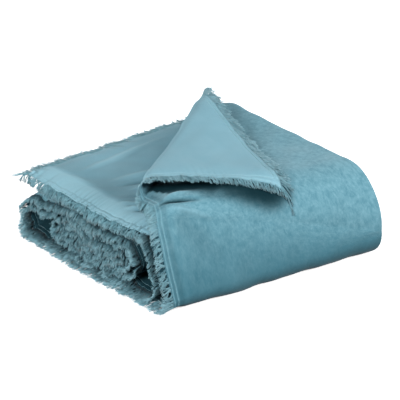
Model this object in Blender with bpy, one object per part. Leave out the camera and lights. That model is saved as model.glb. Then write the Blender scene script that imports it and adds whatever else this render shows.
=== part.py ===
"""Fringed velvet comforter, folded in half and then rolled flat into a soft bundle.

Metres, +Z up. The comforter is two panels, velvet and cotton, seamed together
with a frayed fringe in the seam. It is doubled across its width with the velvet
outside, so one end of the bundle is a closed fold and the other shows the hems.
The doubled strip is then wrapped front, bottom, back and inwards. One corner of
the upper half is turned back over a soft roll and shows its cotton side.

The shape is worked out on the flat cloth. "across" runs over the width, from the
hem of the inner half, round the closed end, to the hem of the outer half.
"along" runs down the length, from the end on top to the end inside the bundle.
"""

import math
from collections import namedtuple

import bmesh
import bpy
import numpy as np

# Panels
PANEL = 0.0050                      # thickness of a panel with its share of the padding
SEAM_GAP = 0.0005                   # clearance between neighbouring pieces
REACH = PANEL + SEAM_GAP / 2.0      # middle of a half to its outer skin
HALF_GAP = 0.0062                   # middle of a doubled pass to the middle of a half
DOUBLED_WIDTH = 0.414               # hem to the start of the closed end
HEM_WIDTH = 0.022                   # border over which the padding thins to the seam
HEM_THIN = 0.26                     # thickness left at the seam, as a share of PANEL

# Fringe
FRINGE_LENGTH = 0.021
FRINGE_THICK = 0.0014
FRINGE_BAND = 0.006                 # solid band at the root of the tufts
HEM_GAP = 0.0006                    # clearance between a hem and its fringe
GROUND_GAP = 0.0006                 # clearance between the lowest tufts and the ground
TUFT_PITCH = 0.028
HANG_DROP = 0.014                   # fall of the tips where the fringe hangs free
END_DROP = 0.005                    # fall of the tips at the end on top
TUCKED_DROP = 0.003                 # fall of the tips between the layers

# Bundle
FLOOR_HALF = REACH                  # height of a half that lies on the ground
FLOOR_PASS = REACH + HALF_GAP       # height of a doubled pass that lies on the ground
EDGE_WANDER = 0.003                 # how far the hems wander in and out
HEM_PULL = 0.040                    # how far the outer half's hem is drawn in over the top
HEM_PULL_AT = 0.180                 # where along the cloth it is drawn in most
HEM_PULL_REACH = 0.200              # how far either way the draw-in spreads
SET_BACK = 0.007                    # how far the inner half's hem stands back underneath
SET_BACK_AT = 0.750                 # where along the cloth it stands back most
SET_BACK_REACH = 0.100              # how far either way the set-back spreads
FOOT_PUSH = 0.010                   # how far both hems stand out on the ground
FOOT_PUSH_AT = 0.780                # where along the cloth they stand out most
FOOT_PUSH_REACH = 0.160             # how far either way the push spreads
BLEND_POWER = 1.2                   # how soon the hem shape gives way to the closed end

# Turned-back corner
ROLL_FROM_END = 0.320               # where the roll meets the long hem, along the cloth
ROLL_FROM_HEM = 0.410               # where the roll meets the short end, in from the hem
ROLL_RADIUS_HEM = 0.012             # radius of the cone where it meets the long hem
ROLL_RADIUS_END = 0.022             # radius of the cone where it meets the short end
ROLL_STEPS = 6                      # mesh steps round the cone
TIP_REST = 2.0 * REACH + 0.0020     # height at which the tip lies on the velvet
TIP_FALL = 0.150                    # distance over which the turned part comes down
TIP_SWING = 0.25                    # sideways lean of the turned part, towards the hems

Turn = namedtuple("Turn", "y z radius")
Corner = namedtuple("Corner", "name closed outer inner arc run")

# One row for each turn of the strip. "closed" is the middle of the doubled pass at
# the closed end; "outer" and "inner" are the two hems at the other end. "arc" and
# "run" are the mesh steps round the turn and along the straight that follows it.
CORNERS = (
    Corner("outer_end", arc=0, run=4,
           closed=Turn(0.450, 0.1450, 0.0), outer=Turn(0.448, 0.1240, 0.0), inner=Turn(0.450, 0.1070, 0.0)),
    Corner("top_sway", arc=1, run=3,
           closed=Turn(0.250, 0.1350, 2.0), outer=Turn(0.270, 0.1300, 0.8), inner=Turn(0.250, 0.1060, 1.2)),
    Corner("front_top", arc=5, run=2,
           closed=Turn(FLOOR_PASS, 0.1350, 0.090), outer=Turn(0.075, 0.1600, 0.030),
           inner=Turn(0.085, 0.1160, 0.015)),
    Corner("front_foot", arc=4, run=4,
           closed=Turn(FLOOR_PASS, FLOOR_PASS, 0.020), outer=Turn(0.004, FLOOR_HALF, 0.014),
           inner=Turn(0.036, 0.0190, 0.016)),
    Corner("back_foot", arc=4, run=0,
           closed=Turn(0.442, FLOOR_PASS, 0.0430), outer=Turn(0.444, FLOOR_HALF, 0.0330),
           inner=Turn(0.432, 0.0175, 0.0205)),
    Corner("back_top", arc=4, run=2,
           closed=Turn(0.442, 0.0975, 0.0430), outer=Turn(0.444, 0.0715, 0.0330),
           inner=Turn(0.432, 0.0590, 0.0205)),
    Corner("upper_sway", arc=1, run=2,
           closed=Turn(0.300, 0.0982, 3.0), outer=Turn(0.330, 0.0895, 0.2), inner=Turn(0.325, 0.0775, 0.2)),
    Corner("front_fold_top", arc=3, run=0,
           closed=Turn(0.045, 0.0975, 0.0287), outer=Turn(0.105, 0.0895, 0.0297),
           inner=Turn(0.118, 0.0775, 0.0178)),
    Corner("front_fold_foot", arc=3, run=4,
           closed=Turn(0.045, 0.0400, 0.0287), outer=Turn(0.105, 0.0300, 0.0297),
           inner=Turn(0.118, 0.0418, 0.0178)),
    Corner("back_fold_foot", arc=2, run=0,
           closed=Turn(0.370, 0.0400, 0.0144), outer=Turn(0.355, 0.0300, 0.0177),
           inner=Turn(0.342, 0.0418, 0.0060)),
    Corner("back_fold_top", arc=2, run=4,
           closed=Turn(0.370, 0.0688, 0.0144), outer=Turn(0.355, 0.0655, 0.0177),
           inner=Turn(0.342, 0.0539, 0.0060)),
    Corner("inner_end", arc=0, run=0,
           closed=Turn(0.110, 0.0688, 0.0), outer=Turn(0.150, 0.0655, 0.0), inner=Turn(0.148, 0.0539, 0.0)),
)

ACROSS_STEPS_INNER = 3
ACROSS_STEPS_FOLD = 4
ACROSS_STEPS_OUTER = 4

FOLD_ARC = math.pi * HALF_GAP
WIDTH = 2.0 * DOUBLED_WIDTH + FOLD_ARC


def fillet_pieces(turns):
    """Straight runs and arcs of one profile, in order."""
    points = [np.array((turn.y, turn.z)) for turn in turns]
    count = len(points)
    cuts = [0.0] * count
    bends = [(0.0, 1.0)] * count
    for i in range(1, count - 1):
        before = points[i] - points[i - 1]
        after = points[i + 1] - points[i]
        bend = math.atan2(before[0] * after[1] - before[1] * after[0], float(before @ after))
        tangent = max(abs(math.tan(bend / 2.0)), 1e-6)
        bends[i] = (bend, tangent)
        cuts[i] = turns[i].radius * tangent
    for i in range(count - 1):
        room = float(np.linalg.norm(points[i + 1] - points[i])) * 0.999
        if cuts[i] + cuts[i + 1] > room:
            share = room / (cuts[i] + cuts[i + 1])
            cuts[i] *= share
            cuts[i + 1] *= share
    pieces = []
    start = points[0]
    for i in range(1, count - 1):
        before = points[i] - points[i - 1]
        before = before / np.linalg.norm(before)
        after = points[i + 1] - points[i]
        after = after / np.linalg.norm(after)
        bend, tangent = bends[i]
        radius = cuts[i] / tangent
        arc_start = points[i] - before * cuts[i]
        side = 1.0 if bend > 0.0 else -1.0
        centre = arc_start + np.array((-before[1], before[0])) * side * radius
        angle = math.atan2(arc_start[1] - centre[1], arc_start[0] - centre[0])
        pieces.append(("run", start, arc_start))
        pieces.append(("arc", centre, radius, angle, bend))
        start = points[i] + after * cuts[i]
    pieces.append(("run", start, points[-1]))
    return pieces


def piece_length(piece):
    """Length of a run or an arc."""
    if piece[0] == "run":
        return float(np.linalg.norm(piece[2] - piece[1]))
    return abs(piece[2] * piece[4])


def piece_points(piece, share):
    """Points at the given shares of a run or an arc."""
    if piece[0] == "run":
        return piece[1] + (piece[2] - piece[1]) * share[:, None]
    angle = piece[3] + piece[4] * share
    return piece[1] + piece[2] * np.stack((np.cos(angle), np.sin(angle)), axis=1)


CLOSED = fillet_pieces([corner.closed for corner in CORNERS])
OUTER = fillet_pieces([corner.outer for corner in CORNERS])
INNER = fillet_pieces([corner.inner for corner in CORNERS])
LENGTHS = [
    0.5 * piece_length(a) + 0.25 * (piece_length(b) + piece_length(c))
    for a, b, c in zip(CLOSED, OUTER, INNER)
]
KNOTS = np.concatenate(((0.0,), np.cumsum(LENGTHS)))
LENGTH = float(KNOTS[-1])


def profile(pieces, along):
    """Profile point (y, z) for each position along the cloth."""
    points = np.zeros((len(along), 2))
    index = np.clip(np.searchsorted(KNOTS, along, side="right") - 1, 0, len(pieces) - 1)
    for i, piece in enumerate(pieces):
        chosen = index == i
        if chosen.any():
            share = (along[chosen] - KNOTS[i]) / (KNOTS[i + 1] - KNOTS[i])
            points[chosen] = piece_points(piece, share)
    return points


def profile_normal(pieces, along):
    """Outward normal of a profile."""
    step = 0.0005
    tangent = profile(pieces, along + step) - profile(pieces, along - step)
    tangent /= np.linalg.norm(tangent, axis=1)[:, None]
    return np.stack((tangent[:, 1], -tangent[:, 0]), axis=1)


def bump(along, height, at, reach):
    """Soft bump of a value along the cloth."""
    return height * np.exp(-((along - at) / reach) ** 2)


def hem_wander(along, phase):
    """Slow wander of a hem in and out."""
    return EDGE_WANDER * (np.sin(along * 9.0 + phase) + 0.6 * np.sin(along * 23.0 + 2.0 * phase))


def middle(across, along):
    """Middle surface of the folded cloth, before the corner is turned back."""
    turned = np.clip((across - DOUBLED_WIDTH) / HALF_GAP, 0.0, math.pi)
    outer = across > WIDTH / 2.0
    depth = np.where(outer, WIDTH - across, across)
    share = np.clip(depth / DOUBLED_WIDTH, 0.0, 1.0)
    blend = share ** BLEND_POWER
    closed = profile(CLOSED, along) - profile_normal(CLOSED, along) * (HALF_GAP * np.cos(turned))[:, None]
    hem = np.where(outer[:, None], profile(OUTER, along), profile(INNER, along))
    yz = hem + (closed - hem) * blend[:, None]
    outer_drift = hem_wander(along, 0.4) + bump(along, HEM_PULL, HEM_PULL_AT, HEM_PULL_REACH)
    inner_drift = hem_wander(along, 2.3) + bump(along, SET_BACK, SET_BACK_AT, SET_BACK_REACH)
    wander = np.where(outer, outer_drift, inner_drift) - bump(along, FOOT_PUSH, FOOT_PUSH_AT, FOOT_PUSH_REACH)
    x = np.minimum(depth, DOUBLED_WIDTH) + HALF_GAP * np.sin(turned) + wander * (1.0 - share)
    return np.column_stack((x, yz))


def skin(across, along, lift):
    """Surface at a height above the middle surface, on the velvet side."""
    step = 0.0008
    over = middle(across + step, along) - middle(across - step, along)
    down = middle(across, along + step) - middle(across, along - step)
    normal = np.cross(over, down)
    normal /= np.linalg.norm(normal, axis=1)[:, None]
    return middle(across, along) + normal * lift[:, None]


def roll_frame(across, along):
    """Position along the roll, distance past it and its radius there.

    Also gives the unit vectors along the roll and out towards the corner, in the
    plane of the flat cloth, with its first axis running in from the outer hem.
    """
    length = math.hypot(ROLL_FROM_HEM, ROLL_FROM_END)
    run = np.array((ROLL_FROM_HEM, -ROLL_FROM_END)) / length
    out = np.array((-ROLL_FROM_END, -ROLL_FROM_HEM)) / length
    flat = np.stack((WIDTH - across, along - ROLL_FROM_END), axis=1)
    place = flat @ run
    away = flat @ out
    share = np.clip(place / length, -0.1, 1.1)
    radius = ROLL_RADIUS_HEM + (ROLL_RADIUS_END - ROLL_RADIUS_HEM) * share
    return place, away, radius, run, out


def turn_back(across, along, lift):
    """Turn the corner of the outer half over its soft roll."""
    place, away, radius, run, out = roll_frame(across, along)
    angle = np.clip(away / radius, 0.0, math.pi)
    beyond = np.maximum(away - math.pi * radius, 0.0)
    fall = np.clip(beyond / TIP_FALL, 0.0, 1.0)
    fall = fall * fall * (3.0 - 2.0 * fall)
    top = 2.0 * radius + (TIP_REST - 2.0 * radius) * fall
    rolled_away = (radius - lift) * np.sin(angle) - beyond
    rolled_lift = np.where(beyond > 0.0, top - lift, radius - (radius - lift) * np.cos(angle))
    turned = (away > 0.0) & (across > WIDTH / 2.0)
    leaned = place - TIP_SWING * beyond
    moved = leaned[:, None] * run + rolled_away[:, None] * out
    new_across = np.where(turned, WIDTH - moved[:, 0], across)
    new_along = np.where(turned, moved[:, 1] + ROLL_FROM_END, along)
    new_lift = np.where(turned, rolled_lift, lift)
    return new_across, new_along, new_lift


def roll_share(across, along):
    """How far round the roll a flat-cloth position lies, from 0 to 1."""
    _, away, radius, _, _ = roll_frame(across, along)
    share = np.clip(away / (math.pi * radius), 0.0, 1.0)
    return np.where(across > WIDTH / 2.0, share, 0.0)


def cloth_point(across, along, lift):
    """World position of flat-cloth positions at a height on the velvet side."""
    return skin(*turn_back(across, along, lift))


def stations_along():
    """Section positions along the cloth, a few for each run and each arc."""
    values = [0.0]
    steps = [CORNERS[0].run]
    for corner in CORNERS[1:-1]:
        steps += [corner.arc, corner.run]
    for i, count in enumerate(steps):
        for j in range(1, max(count, 1) + 1):
            value = KNOTS[i] + (KNOTS[i + 1] - KNOTS[i]) * j / max(count, 1)
            if value - values[-1] > 0.0008:
                values.append(value)
    values[-1] = LENGTH
    return values


def stations_across():
    """Section positions across the cloth, closer together round the closed end."""
    inner = np.linspace(0.0, DOUBLED_WIDTH, ACROSS_STEPS_INNER + 1)
    fold = np.linspace(DOUBLED_WIDTH, DOUBLED_WIDTH + FOLD_ARC, ACROSS_STEPS_FOLD + 1)
    outer = np.linspace(DOUBLED_WIDTH + FOLD_ARC, WIDTH, ACROSS_STEPS_OUTER + 1)
    values = list(inner) + list(fold[1:]) + list(outer[1:])
    values.insert(1, HEM_WIDTH)
    values.insert(len(values) - 1, WIDTH - HEM_WIDTH)
    return values


def flat_cloth():
    """Flat mesh of the cloth, cut along the lines of the soft roll."""
    across = stations_across()
    along = stations_along()
    along.insert(1, HEM_WIDTH)
    along.insert(len(along) - 1, LENGTH - HEM_WIDTH)
    mesh = bmesh.new()
    grid = [[mesh.verts.new((u, v, 0.0)) for v in along] for u in across]
    for i in range(len(across) - 1):
        for j in range(len(along) - 1):
            mesh.faces.new((grid[i][j], grid[i + 1][j], grid[i + 1][j + 1], grid[i][j + 1]))
    for k in range(ROLL_STEPS + 1):
        cut_roll_line(mesh, math.pi * k / ROLL_STEPS)
    bmesh.ops.triangulate(mesh, faces=mesh.faces[:])
    mesh.verts.index_update()
    points = np.array([vert.co[:2] for vert in mesh.verts])
    faces = [[vert.index for vert in face.verts] for face in mesh.faces]
    rim = []
    for edge in mesh.edges:
        if len(edge.link_faces) == 1:
            loop = edge.link_loops[0]
            rim.append((loop.vert.index, loop.link_loop_next.vert.index))
    mesh.free()
    return points, faces, rim


def cut_roll_line(mesh, angle):
    """Cut the flat mesh along the line that lies at an angle round the roll."""
    length = math.hypot(ROLL_FROM_HEM, ROLL_FROM_END)
    out = np.array((-ROLL_FROM_END, -ROLL_FROM_HEM)) / length
    at_hem = np.array((0.0, ROLL_FROM_END)) + out * angle * ROLL_RADIUS_HEM
    at_end = np.array((ROLL_FROM_HEM, 0.0)) + out * angle * ROLL_RADIUS_END
    middle_of_fold = DOUBLED_WIDTH + FOLD_ARC / 2.0
    faces = [face for face in mesh.faces if face.calc_center_median().x > middle_of_fold]
    edges = {edge for face in faces for edge in face.edges}
    verts = {vert for face in faces for vert in face.verts}
    bmesh.ops.bisect_plane(
        mesh,
        geom=list(verts) + list(edges) + faces,
        plane_co=(WIDTH - at_hem[0], at_hem[1], 0.0),
        plane_no=(at_end[1] - at_hem[1], at_end[0] - at_hem[0], 0.0),
        dist=1e-5,
    )


def thickness_share(points):
    """Share of the full thickness left near the hems."""
    edge = np.minimum.reduce((points[:, 0], WIDTH - points[:, 0], points[:, 1], LENGTH - points[:, 1]))
    share = np.clip(edge / HEM_WIDTH, 0.0, 1.0)
    return HEM_THIN + (1.0 - HEM_THIN) * np.sqrt(share * (2.0 - share))


def panel_mesh(flat, near, far):
    """Closed sheet between two heights on the velvet side."""
    points, faces, rim = flat
    share = thickness_share(points)
    seam = SEAM_GAP / 2.0 * np.sign(near + far)
    low = cloth_point(points[:, 0], points[:, 1], seam + (near - seam) * share)
    high = cloth_point(points[:, 0], points[:, 1], seam + (far - seam) * share)
    return close_sheet(low, high, faces, rim)


def hem_stations(flat, side):
    """Corner positions of the flat mesh along one hem, in order."""
    points = flat[0]
    on_hem = {
        "long_outer": np.abs(points[:, 0] - WIDTH) < 1e-5,
        "long_inner": np.abs(points[:, 0]) < 1e-5,
        "end_outer": np.abs(points[:, 1]) < 1e-5,
        "end_inner": np.abs(points[:, 1] - LENGTH) < 1e-5,
    }[side]
    axis = 1 if side.startswith("long") else 0
    return np.sort(points[on_hem][:, axis])


def flat_fringe(side, hem, out):
    """Flat-cloth position at a distance along one hem and a distance out from it."""
    out = np.full(len(hem), out)
    if side == "long_outer":
        return WIDTH + out, hem
    if side == "long_inner":
        return -out, hem
    if side == "end_outer":
        return hem, -out
    return hem, LENGTH + out


def fringe_line(side, hem, out, lift, drop):
    """World positions of one line of a fringe, fallen by its own weight.

    Over bare ground it hangs straight down. On the turned-back corner it sinks
    towards the velvet below and stops short of it.
    """
    across, along = flat_fringe(side, hem, out)
    fall = drop * (out / FRINGE_LENGTH) ** 2
    new_across, new_along, new_lift = turn_back(across, along, np.full(len(hem), lift))
    wrapped = roll_share(across, along)
    room = np.maximum(new_lift - REACH - 3.0 * FRINGE_THICK, 0.0)
    new_lift = np.where(wrapped >= 1.0, new_lift - np.minimum(fall, room), new_lift)
    points = skin(new_across, new_along, new_lift)
    points[:, 2] -= fall * (1.0 - wrapped)
    return points


def comb_mesh(flat, side, drop):
    """Comb of pointed tufts along one hem, closed all round."""
    hem = hem_stations(flat, side)
    half = FRINGE_THICK / 2.0
    lines = {}
    for key, out in (("root", HEM_GAP), ("band", FRINGE_BAND), ("tip", FRINGE_LENGTH)):
        low = fringe_line(side, hem, out, -half, drop)
        high = fringe_line(side, hem, out, half, drop)
        raised = np.maximum(GROUND_GAP - np.minimum(low[:, 2], high[:, 2]), 0.0)
        low[:, 2] += raised
        high[:, 2] += raised
        lines[key] = (low, high)
    low = []
    high = []
    tufts = 0
    for i in range(len(hem) - 1):
        count = max(1, round((hem[i + 1] - hem[i]) / TUFT_PITCH))
        for j in range(count):
            spots = (("root", j / count), ("band", j / count), ("tip", (j + 0.5) / count))
            for key, share in spots:
                low.append(lines[key][0][i] * (1.0 - share) + lines[key][0][i + 1] * share)
                high.append(lines[key][1][i] * (1.0 - share) + lines[key][1][i + 1] * share)
            tufts += 1
    for key in ("root", "band"):
        low.append(lines[key][0][-1])
        high.append(lines[key][1][-1])
    flat_faces = []
    rim = [(3 * tufts, 3 * tufts + 1), (1, 0)]
    for i in range(tufts):
        root, band, tip, next_root, next_band = (3 * i + k for k in range(5))
        flat_faces += [[root, next_root, next_band], [root, next_band, band], [band, next_band, tip]]
        rim += [(root, next_root), (next_band, tip), (tip, band)]
    return close_sheet(np.array(low), np.array(high), flat_faces, rim)


def close_sheet(low, high, faces, rim):
    """Join two matching skins with a wall round their rim."""
    count = len(low)
    top = [[i + count for i in face] for face in faces]
    bottom = [face[::-1] for face in faces]
    walls = []
    for a, b in rim:
        walls.append([a, b, b + count])
        walls.append([a, b + count, a + count])
    return np.concatenate((low, high)), top + bottom + walls


def make_material(name, colour, roughness):
    """Plain cloth finish."""
    material = bpy.data.materials.new(name)
    material.use_nodes = True
    shader = material.node_tree.nodes["Principled BSDF"]
    shader.inputs["Base Color"].default_value = (*colour, 1.0)
    shader.inputs["Roughness"].default_value = roughness
    shader.inputs["Metallic"].default_value = 0.0
    return material


def add_object(name, verts, faces, material):
    """Add one closed body with its faces pointing out."""
    mesh = bpy.data.meshes.new(name)
    mesh.from_pydata([tuple(vert) for vert in verts], [], faces)
    body = bmesh.new()
    body.from_mesh(mesh)
    bmesh.ops.recalc_face_normals(body, faces=body.faces[:])
    if body.calc_volume(signed=True) < 0.0:
        bmesh.ops.reverse_faces(body, faces=body.faces[:])
    body.to_mesh(mesh)
    body.free()
    mesh.validate()
    for polygon in mesh.polygons:
        polygon.use_smooth = True
    mesh.materials.append(material)
    part = bpy.data.objects.new(name, mesh)
    bpy.context.scene.collection.objects.link(part)
    return part


def main():
    """Build the two panels and the four fringes, centred over the origin."""
    for old in list(bpy.data.objects):
        bpy.data.objects.remove(old, do_unlink=True)

    velvet = make_material("velvet", (0.16, 0.33, 0.40), 0.85)
    cotton = make_material("cotton", (0.26, 0.43, 0.51), 0.80)
    fringe = make_material("fringe", (0.20, 0.37, 0.43), 0.90)

    flat = flat_cloth()
    bodies = (
        ("velvet_face", panel_mesh(flat, SEAM_GAP / 2.0, REACH), velvet),
        ("cotton_back", panel_mesh(flat, -SEAM_GAP / 2.0, -REACH), cotton),
        ("fringe_long_outer", comb_mesh(flat, "long_outer", HANG_DROP), fringe),
        ("fringe_long_inner", comb_mesh(flat, "long_inner", HANG_DROP), fringe),
        ("fringe_end_outer", comb_mesh(flat, "end_outer", END_DROP), fringe),
        ("fringe_end_inner", comb_mesh(flat, "end_inner", TUCKED_DROP), fringe),
    )
    parts = [add_object(name, verts, faces, material) for name, (verts, faces), material in bodies]

    corners = np.array([vert.co[:] for part in parts for vert in part.data.vertices])
    centre = (corners.min(axis=0) + corners.max(axis=0)) / 2.0
    for part in parts:
        for vert in part.data.vertices:
            vert.co.x -= centre[0]
            vert.co.y -= centre[1]


main()
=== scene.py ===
"""A light velvet comforter with a frayed fringe, doubled and rolled flat.

The cloth is worked out on the flat, as a maker would lay it on a table. "across"
runs over the width, from the hem of the inner half, round the closed end, to the
hem of the outer half. "along" runs down the length, from the end that comes out
on top to the end inside the bundle. A folding carries each flat position to its
place in the bundle, and the panels, fringes and stitching all ride on it.
Lengths are in metres, and the rates of sines in radians a metre.
"""

import logging
import math
from dataclasses import dataclass, field
from enum import Enum
from typing import NamedTuple

import bpy
import numpy as np
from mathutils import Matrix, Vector

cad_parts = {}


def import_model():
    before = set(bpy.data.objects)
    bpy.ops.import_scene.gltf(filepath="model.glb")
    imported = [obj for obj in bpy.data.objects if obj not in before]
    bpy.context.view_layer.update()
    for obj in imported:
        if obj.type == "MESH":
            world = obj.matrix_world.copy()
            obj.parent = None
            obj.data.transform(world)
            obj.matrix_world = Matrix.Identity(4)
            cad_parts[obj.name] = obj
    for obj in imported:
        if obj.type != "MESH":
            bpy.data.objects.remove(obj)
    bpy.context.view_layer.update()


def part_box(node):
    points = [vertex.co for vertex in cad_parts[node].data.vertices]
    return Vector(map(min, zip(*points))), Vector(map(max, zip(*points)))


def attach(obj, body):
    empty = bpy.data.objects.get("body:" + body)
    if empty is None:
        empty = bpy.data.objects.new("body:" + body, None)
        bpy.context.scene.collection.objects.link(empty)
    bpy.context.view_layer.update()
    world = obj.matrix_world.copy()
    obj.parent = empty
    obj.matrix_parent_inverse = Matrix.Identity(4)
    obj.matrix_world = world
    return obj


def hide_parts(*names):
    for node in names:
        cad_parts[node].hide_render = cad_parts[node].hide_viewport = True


LOG = logging.getLogger("comforter")
BAKE_MAP = "OFBake"
FLAT_MAP = "flat_place"
TINY = 1e-6
Array = np.ndarray
Colour = tuple[float, float, float, float]
Piece = bpy.types.Object
Socket = bpy.types.NodeSocket


class Hem(Enum):
    """The four hems of the comforter."""

    LONG_OUTER = "long_outer"
    LONG_INNER = "long_inner"
    END_OUTER = "end_outer"
    END_INNER = "end_inner"

    @property
    def is_long(self) -> bool:
        """Whether the hem runs down the length."""
        return self in (Hem.LONG_OUTER, Hem.LONG_INNER)


class Face(Enum):
    """The two faces of the comforter, as the sign of their height."""

    VELVET = 1.0
    COTTON = -1.0


class Flat(NamedTuple):
    """Positions in the flat cloth, with heights over its middle on the velvet side."""

    across: Array
    along: Array
    lift: Array | float = 0.0


def ease(value: Array) -> Array:
    """Smooth step from 0 to 1 of numbers that are first held between them."""
    held = np.clip(value, 0.0, 1.0)
    return held * held * (3.0 - 2.0 * held)


def unit(rows: Array) -> Array:
    """Rows of vectors, each made one long."""
    return rows / np.maximum(np.linalg.norm(rows, axis=-1), 1e-9)[..., None]


@dataclass(frozen=True)
class Ramp:
    """A smooth step from 0 to 1. It faces down where its reach is negative."""

    start: float
    reach: float

    def at(self, value: Array) -> Array:
        """Share climbed at the given values."""
        return ease((value - self.start) / self.reach)


@dataclass(frozen=True)
class Swell:
    """A bell-shaped bulge: its height, its middle and how far it reaches."""

    height: float
    middle: float
    reach: float

    def at(self, value: Array) -> Array:
        """Height at the given values."""
        return self.height * np.exp(-(((value - self.middle) / self.reach) ** 2))


@dataclass(frozen=True)
class Turn:
    """One turn of a profile: its corner and the radius that rounds it."""

    y: float
    z: float
    radius: float


@dataclass(frozen=True)
class Corner:
    """One turn of the doubled strip, at the closed end and at the two hems."""

    closed: Turn
    outer: Turn
    inner: Turn


@dataclass(frozen=True)
class Run:
    """A straight stretch of a profile."""

    start: Array
    end: Array

    def length(self) -> float:
        """Length of the stretch."""
        return float(np.linalg.norm(self.end - self.start))

    def at(self, share: Array) -> Array:
        """Points at the given shares of the stretch."""
        return self.start + (self.end - self.start) * share[:, None]


@dataclass(frozen=True)
class Bend:
    """A round stretch of a profile."""

    centre: Array
    radius: float
    first: float
    sweep: float

    def length(self) -> float:
        """Length of the stretch."""
        return abs(self.radius * self.sweep)

    def at(self, share: Array) -> Array:
        """Points at the given shares of the stretch."""
        angle = self.first + self.sweep * share
        return self.centre + self.radius * np.stack((np.cos(angle), np.sin(angle)), axis=1)


class Profile:
    """A rounded path in the Y-Z plane, made of runs and bends in turn.

    knots holds the flat position of each piece's start, and of the last one's end.
    """

    room_share: float = 0.999
    half_step: float = 0.0005

    def __init__(self, turns: list[Turn]) -> None:
        """Round the corners of a path.

        Args:
            turns: The corners in order, the first and last being its ends.
        """
        points = [np.array((turn.y, turn.z)) for turn in turns]
        steps = [after - before for before, after in zip(points, points[1:])]
        lengths = [float(np.linalg.norm(step)) for step in steps]
        cuts = [0.0] * len(points)
        bends = [(0.0, 1.0)] * len(points)
        for i, (before, after) in enumerate(zip(steps, steps[1:]), start=1):
            sweep = math.atan2(before[0] * after[1] - before[1] * after[0], float(before @ after))
            tangent = max(abs(math.tan(sweep / 2.0)), TINY)
            bends[i] = (sweep, tangent)
            cuts[i] = turns[i].radius * tangent
        for i, length in enumerate(lengths):
            room = length * self.room_share
            if cuts[i] + cuts[i + 1] > room:
                share = room / (cuts[i] + cuts[i + 1])
                cuts[i] *= share
                cuts[i + 1] *= share
        self.knots = np.zeros(0)
        self.pieces: list[Run | Bend] = []
        start = points[0]
        for i in range(1, len(steps)):
            before, after = steps[i - 1] / lengths[i - 1], steps[i] / lengths[i]
            sweep, tangent = bends[i]
            radius = cuts[i] / tangent
            entry = points[i] - before * cuts[i]
            side = 1.0 if sweep > 0.0 else -1.0
            centre = entry + np.array((-before[1], before[0])) * side * radius
            first = math.atan2(entry[1] - centre[1], entry[0] - centre[0])
            self.pieces += [Run(start, entry), Bend(centre, radius, first, sweep)]
            start = points[i] + after * cuts[i]
        self.pieces.append(Run(start, points[-1]))

    def at(self, along: Array) -> Array:
        """Points of the path.

        Args:
            along: Positions along the cloth.

        Returns:
            One (y, z) pair for each position.
        """
        knots = self.knots
        result = np.zeros((len(along), 2))
        index = np.clip(np.searchsorted(knots, along, side="right") - 1, 0, len(self.pieces) - 1)
        for i, piece in enumerate(self.pieces):
            chosen = index == i
            if chosen.any():
                result[chosen] = piece.at((along[chosen] - knots[i]) / (knots[i + 1] - knots[i]))
        return result

    def normal(self, along: Array) -> Array:
        """Outward normals of the path, as unit (y, z) pairs."""
        tangent = unit(self.at(along + self.half_step) - self.at(along - self.half_step))
        return np.stack((tangent[:, 1], -tangent[:, 0]), axis=1)


@dataclass(frozen=True)
class Crease:
    """One soft ridge or trough, placed on the flat cloth.

    heading is in degrees: 0 points in from the long hem, 90 points down the cloth.
    rise is its height out of its own face, or its depth where it is negative.
    """

    from_hem: float
    from_end: float
    heading: float
    length: float
    width: float
    rise: float


# The velvet's creases lie on the outer half, and the cotton's on the inner half.
CREASES: dict[Face, tuple[Crease, ...]] = {
    Face.VELVET: (
        Crease(0.004, 0.394, 22.0, 0.120, 0.0060, 0.0050),
        Crease(0.006, 0.374, 10.0, 0.090, 0.0080, -0.0075),
        Crease(0.012, 0.352, 2.0, 0.070, 0.0070, 0.0045),
        Crease(0.020, 0.420, 30.0, 0.120, 0.0160, -0.0026),
        Crease(0.100, 0.470, 52.0, 0.160, 0.0200, 0.0026),
        Crease(0.250, 0.520, 64.0, 0.220, 0.0300, 0.0020),
        Crease(0.300, 0.430, 12.0, 0.260, 0.0350, -0.0016),
        Crease(0.210, 0.100, 38.0, 0.160, 0.0160, 0.0024),
        Crease(0.120, 0.170, -20.0, 0.140, 0.0180, -0.0020),
    ),
    Face.COTTON: (
        Crease(0.060, 0.075, -8.0, 0.220, 0.0070, 0.0040),
        Crease(0.075, 0.135, 10.0, 0.240, 0.0080, 0.0050),
        Crease(0.070, 0.160, 16.0, 0.200, 0.0080, -0.0040),
        Crease(0.080, 0.190, 14.0, 0.220, 0.0075, 0.0046),
        Crease(0.060, 0.220, 24.0, 0.170, 0.0070, -0.0036),
        Crease(0.040, 0.235, 55.0, 0.070, 0.0055, 0.0040),
        Crease(0.034, 0.262, 40.0, 0.065, 0.0050, 0.0044),
        Crease(0.036, 0.282, 28.0, 0.060, 0.0048, -0.0036),
        Crease(0.040, 0.300, 35.0, 0.070, 0.0050, 0.0040),
        Crease(0.030, 0.060, 75.0, 0.080, 0.0070, 0.0030),
    ),
}

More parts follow.
